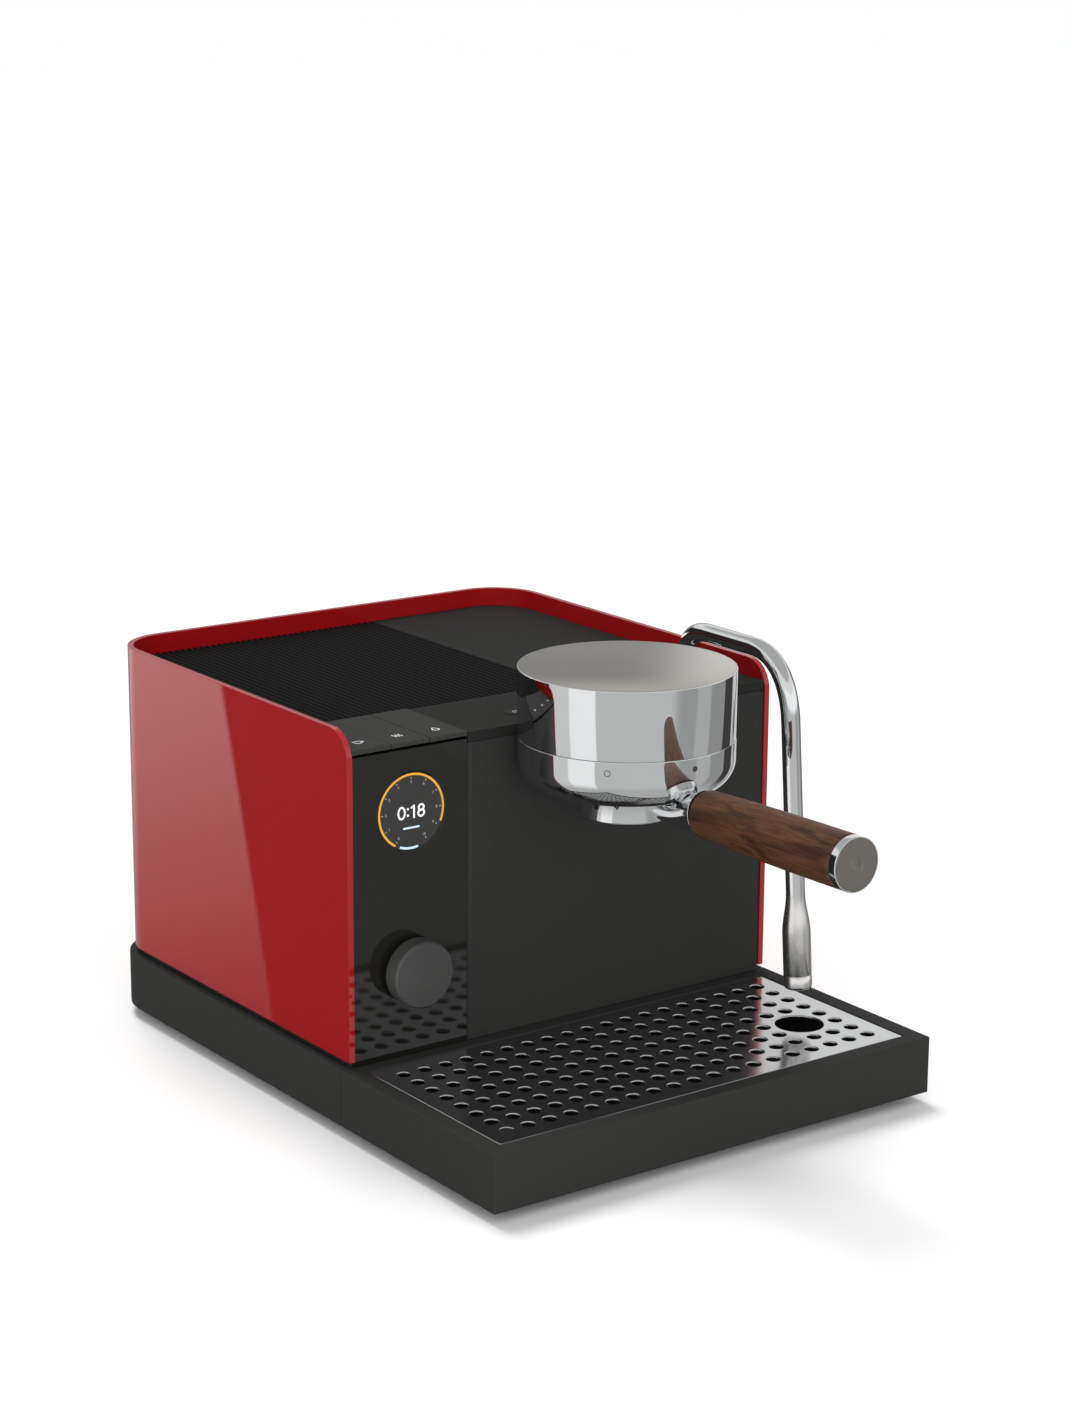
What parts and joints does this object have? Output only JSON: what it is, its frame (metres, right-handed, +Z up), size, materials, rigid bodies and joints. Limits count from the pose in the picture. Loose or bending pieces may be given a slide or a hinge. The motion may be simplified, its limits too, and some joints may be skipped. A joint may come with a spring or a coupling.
{
  "type": "espresso machine",
  "caption": "Compact pump espresso machine: red U-shaped housing on a charcoal base, chrome brew group, wooden-handled portafilter, swivelling steam wand, keys, dial and drip tray.",
  "frame": {"origin": "centre of the footprint (the handle included), on the surface that the feet stand on", "axes": "+Z up, the front of the machine and the handle towards -Y, the steam wand on the +X side"},
  "size_m": [0.315, 0.5268, 0.2672],
  "materials": {
    "red_lacquer": "high gloss red lacquer",
    "charcoal_plastic": "fine matte charcoal",
    "gloss_black": "glossy near-black",
    "chrome": "mirror",
    "satin_metal": "satin warm grey",
    "polished_steel": "polished",
    "steel": "plain",
    "aluminium": "cast",
    "brass": "plain",
    "walnut": "oiled walnut",
    "rubber": "matte",
    "silicone": "translucent white",
    "clear_plastic": "clear, slightly smoked",
    "circuit_board": "solder-masked board"
  },
  "bodies": {
    "housing": {"base_frame": "charcoal_plastic", "foot_front_left": "rubber", "foot_front_right": "rubber", "foot_back_left": "rubber", "foot_back_right": "rubber", "base_screw_left": "steel", "base_screw_right": "steel", "housing_shell": "red_lacquer", "front_panel": "charcoal_plastic", "display_panel": "gloss_black", "display_lens": "gloss_black", "display_board": "circuit_board", "deck_strip": "charcoal_plastic", "warming_plate": "charcoal_plastic", "inner_frame": "steel", "key_pivot_rod": "steel", "key_switch_board": "circuit_board", "encoder": "steel", "group_sleeve": "chrome", "group_cap": "satin_metal", "group_skirt": "chrome", "group_body": "aluminium", "group_heater": "steel", "shower_screen": "polished_steel", "group_gasket": "rubber", "wand_collar": "chrome", "steam_valve": "brass", "tank_cradle": "charcoal_plastic", "boiler": "steel", "pump": "steel", "pump_mounts": "rubber", "solenoid_valve": "brass", "flow_meter": "charcoal_plastic", "control_board": "circuit_board", "power_board": "circuit_board", "power_inlet": "charcoal_plastic", "hose_tank_to_meter": "silicone", "hose_meter_to_pump": "silicone", "hose_pump_to_boiler": "silicone", "pipe_boiler_to_steam": "steel"},
    "tray": {"drip_tray": "charcoal_plastic"},
    "grille": {"drip_grille": "polished_steel", "grille_plug": "rubber"},
    "key_left": {"key_brew": "charcoal_plastic"},
    "key_middle": {"key_steam": "charcoal_plastic"},
    "key_right": {"key_water": "charcoal_plastic"},
    "power": {"power_button": "charcoal_plastic"},
    "dial_plunger": {"encoder_plunger": "brass"},
    "dial": {"dial_knob": "charcoal_plastic", "dial_shaft": "steel"},
    "portafilter": {"portafilter_body": "chrome", "filter_basket": "polished_steel", "handle_grip": "walnut", "handle_band": "chrome", "handle_cap": "satin_metal"},
    "wand": {"steam_wand_tube": "chrome", "steam_wand_tip": "chrome"},
    "tank": {"water_tank": "clear_plastic", "tank_valve": "silicone"},
    "lid": {"tank_lid": "charcoal_plastic"}
  },
  "joints": [
    {"name": "tray_slide", "type": "slide", "parent": "housing", "child": "tray", "axis": [0, -1, 0], "range_m": [0, 0.16]},
    {"name": "grille_lift", "type": "slide", "parent": "tray", "child": "grille", "axis": [0, 0, 1], "range_m": [0, 0.012]},
    {"name": "key_left_press", "type": "hinge", "parent": "housing", "child": "key_left", "pos_m": [-0.1365, 0.04136, 0.2235], "axis": [1, 0, 0], "range_deg": [0, 1.2], "stiffness_Nm_per_rad": 1, "springref_deg": -1.72},
    {"name": "key_middle_press", "type": "hinge", "parent": "housing", "child": "key_middle", "pos_m": [-0.1101, 0.04136, 0.2235], "axis": [1, 0, 0], "range_deg": [0, 1.2], "stiffness_Nm_per_rad": 1, "springref_deg": -1.72},
    {"name": "key_right_press", "type": "hinge", "parent": "housing", "child": "key_right", "pos_m": [-0.084, 0.04136, 0.2235], "axis": [1, 0, 0], "range_deg": [0, 1.2], "stiffness_Nm_per_rad": 1, "springref_deg": -1.72},
    {"name": "power_press", "type": "slide", "parent": "housing", "child": "power", "axis": [0, 0, -1], "range_m": [0, 0.0015], "stiffness_N_per_m": 400, "springref_m": -0.002},
    {"name": "dial_press", "type": "slide", "parent": "housing", "child": "dial_plunger", "axis": [0, 1, 0], "range_m": [0, 0.001], "stiffness_N_per_m": 1500, "springref_m": -0.001},
    {"name": "dial_turn", "type": "hinge", "parent": "dial_plunger", "child": "dial", "pos_m": [-0.1105, -0.0266, 0.0945], "axis": [0, -1, 0], "continuous": true},
    {"name": "portafilter_turn", "type": "hinge", "parent": "housing", "child": "portafilter", "pos_m": [0.0111, -0.06223, 0.19], "axis": [0, 0, 1], "range_deg": [-47, 0]},
    {"name": "wand_swivel", "type": "hinge", "parent": "housing", "child": "wand", "pos_m": [0.118, 0.01656, 0.225], "axis": [0, 0, 1], "range_deg": [-15, 90]},
    {"name": "tank_lift", "type": "slide", "parent": "housing", "child": "tank", "axis": [0, 0, 1], "range_m": [0, 0.2]},
    {"name": "lid_lift", "type": "slide", "parent": "tank", "child": "lid", "axis": [0, 0, 1], "range_m": [0, 0.05]}
  ]
}
